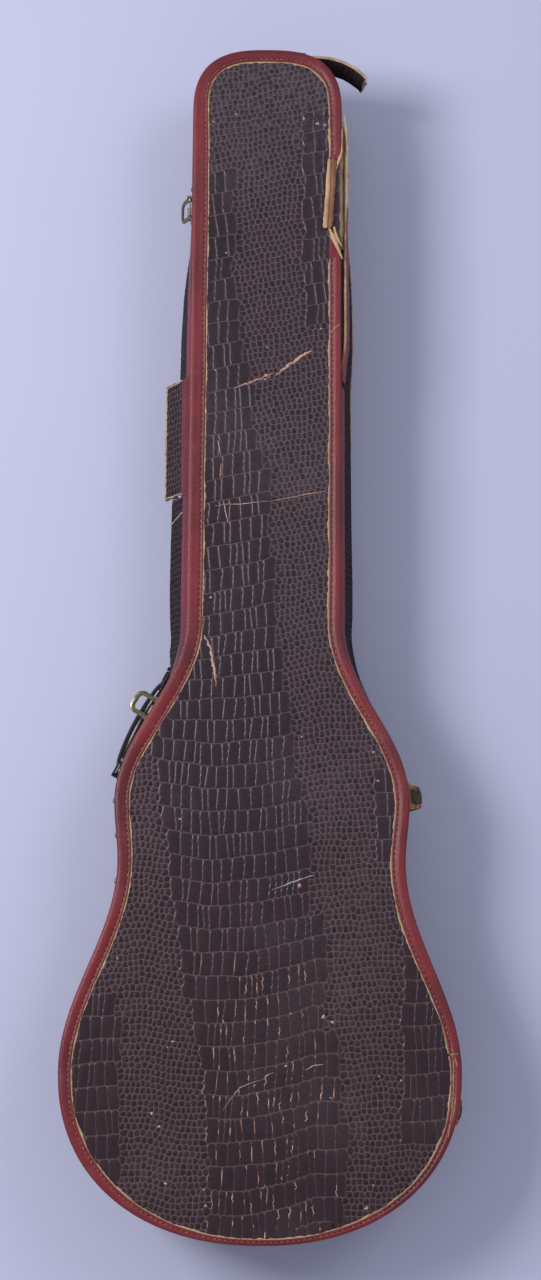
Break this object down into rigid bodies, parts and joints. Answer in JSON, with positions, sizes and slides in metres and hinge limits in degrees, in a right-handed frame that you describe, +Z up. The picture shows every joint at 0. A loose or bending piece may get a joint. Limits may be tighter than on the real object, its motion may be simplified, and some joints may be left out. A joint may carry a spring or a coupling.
{
  "type": "electric guitar case",
  "caption": "Guitar-shaped hard case of crocodile-embossed pressed board with stitched leatherette binding, strap-hinged lid, loop latches, handle, cradle and string box.",
  "frame": {"origin": "on the surface that the closed case lies on, under the middle of its length", "axes": "+Y towards the head end, +X towards the hinge side, +Z up out of the lid"},
  "size_m": [0.3454, 1.05, 0.1],
  "materials": {
    "embossed_board": "semi-gloss crocodile-embossed pressed board",
    "leatherette_binding": "maroon leatherette, stitched",
    "plush_lining": "short plush",
    "raw_board": "bare pressed board",
    "leather": "frayed tan leather",
    "black_grip": "glossy black",
    "latch_steel": "dulled plated steel",
    "brass": "tarnished brass"
  },
  "bodies": {
    "tray": {"back_panel": "embossed_board", "tray_wall_latch_side": "embossed_board", "tray_wall_hinge_side": "embossed_board", "back_binding": "leatherette_binding", "tray_floor_lining": "plush_lining", "tray_wall_lining": "plush_lining", "neck_cradle": "plush_lining", "compartment_wall_tail": "plush_lining", "compartment_wall_head": "plush_lining", "compartment_hinge_cloth": "plush_lining", "hinge_strap_upper_tray": "leather", "hinge_strap_lower_tray": "leather", "hinge_strap_upper_tray_tack": "brass", "hinge_strap_lower_tray_tack": "brass", "head_latch_nose_plate": "latch_steel", "head_latch_nose_pin": "latch_steel", "head_latch_nose_rivet_1": "latch_steel", "head_latch_nose_rivet_2": "latch_steel", "shoulder_latch_nose_plate": "latch_steel", "shoulder_latch_nose_pin": "latch_steel", "shoulder_latch_nose_rivet_1": "latch_steel", "shoulder_latch_nose_rivet_2": "latch_steel", "handle_bracket_head": "latch_steel", "handle_bracket_tail": "latch_steel", "handle_bracket_head_rivet_1": "latch_steel", "handle_bracket_head_rivet_2": "latch_steel", "handle_bracket_tail_rivet_1": "latch_steel", "handle_bracket_tail_rivet_2": "latch_steel"},
    "lid": {"lid_panel": "embossed_board", "rim_strip_latch_side": "embossed_board", "rim_strip_hinge_side": "embossed_board", "rim_strip_head": "embossed_board", "lid_liner_band": "raw_board", "lid_lining": "plush_lining", "lid_binding": "leatherette_binding", "hinge_strap_upper_lid": "leather", "hinge_strap_lower_lid": "leather", "hinge_strap_upper_lid_tack": "brass", "hinge_strap_lower_lid_tack": "brass", "head_latch_loop_plate": "latch_steel", "head_latch_loop_pin": "latch_steel", "head_latch_loop_rivet_1": "latch_steel", "head_latch_loop_rivet_2": "latch_steel", "shoulder_latch_loop_plate": "latch_steel", "shoulder_latch_loop_pin": "latch_steel", "shoulder_latch_loop_rivet_1": "latch_steel", "shoulder_latch_loop_rivet_2": "latch_steel"},
    "string_box_lid": {"compartment_lid": "plush_lining", "compartment_pull_tab": "leather"},
    "head_loop": {"head_latch_loop": "brass"},
    "shoulder_loop": {"shoulder_latch_loop": "brass"},
    "head_nose": {"head_latch_nose": "latch_steel"},
    "shoulder_nose": {"shoulder_latch_nose": "latch_steel"},
    "handle": {"handle_grip": "black_grip"}
  },
  "joints": [
    {"name": "lid_hinge", "type": "hinge", "parent": "tray", "child": "lid", "pos_m": [0.17741, -0.38021, 0.06], "axis": [-0.1229, 0.9924, 0], "range_deg": [0, 130]},
    {"name": "string_box_hinge", "type": "hinge", "parent": "tray", "child": "string_box_lid", "pos_m": [0.05383, 0.14, 0.0494], "axis": [0, 1, 0], "range_deg": [0, 87]},
    {"name": "head_loop_hinge", "type": "hinge", "parent": "lid", "child": "head_loop", "pos_m": [-0.06907, 0.38701, 0.066], "axis": [0.0022, 1, 0], "range_deg": [-25, 150]},
    {"name": "shoulder_loop_hinge", "type": "hinge", "parent": "lid", "child": "shoulder_loop", "pos_m": [-0.0971, -0.06773, 0.066], "axis": [0.5042, 0.8636, 0], "range_deg": [-90, 85]},
    {"name": "head_nose_hinge", "type": "hinge", "parent": "tray", "child": "head_nose", "pos_m": [-0.06567, 0.387, 0.039], "axis": [0.0022, 1, 0], "range_deg": [0, 7], "stiffness_Nm_per_rad": 0.02},
    {"name": "shoulder_nose_hinge", "type": "hinge", "parent": "tray", "child": "shoulder_nose", "pos_m": [-0.09405, -0.0695, 0.039], "axis": [0.5042, 0.8636, 0], "range_deg": [0, 7], "stiffness_Nm_per_rad": 0.02},
    {"name": "handle_hinge", "type": "hinge", "parent": "tray", "child": "handle", "pos_m": [-0.10491, -0.07784, 0.046], "axis": [0.4536, 0.8912, 0], "range_deg": [0, 115]}
  ],
  "couplings": [
    {"joint": "string_box_hinge", "follows": "lid_hinge", "ratio": 0.665}
  ]
}
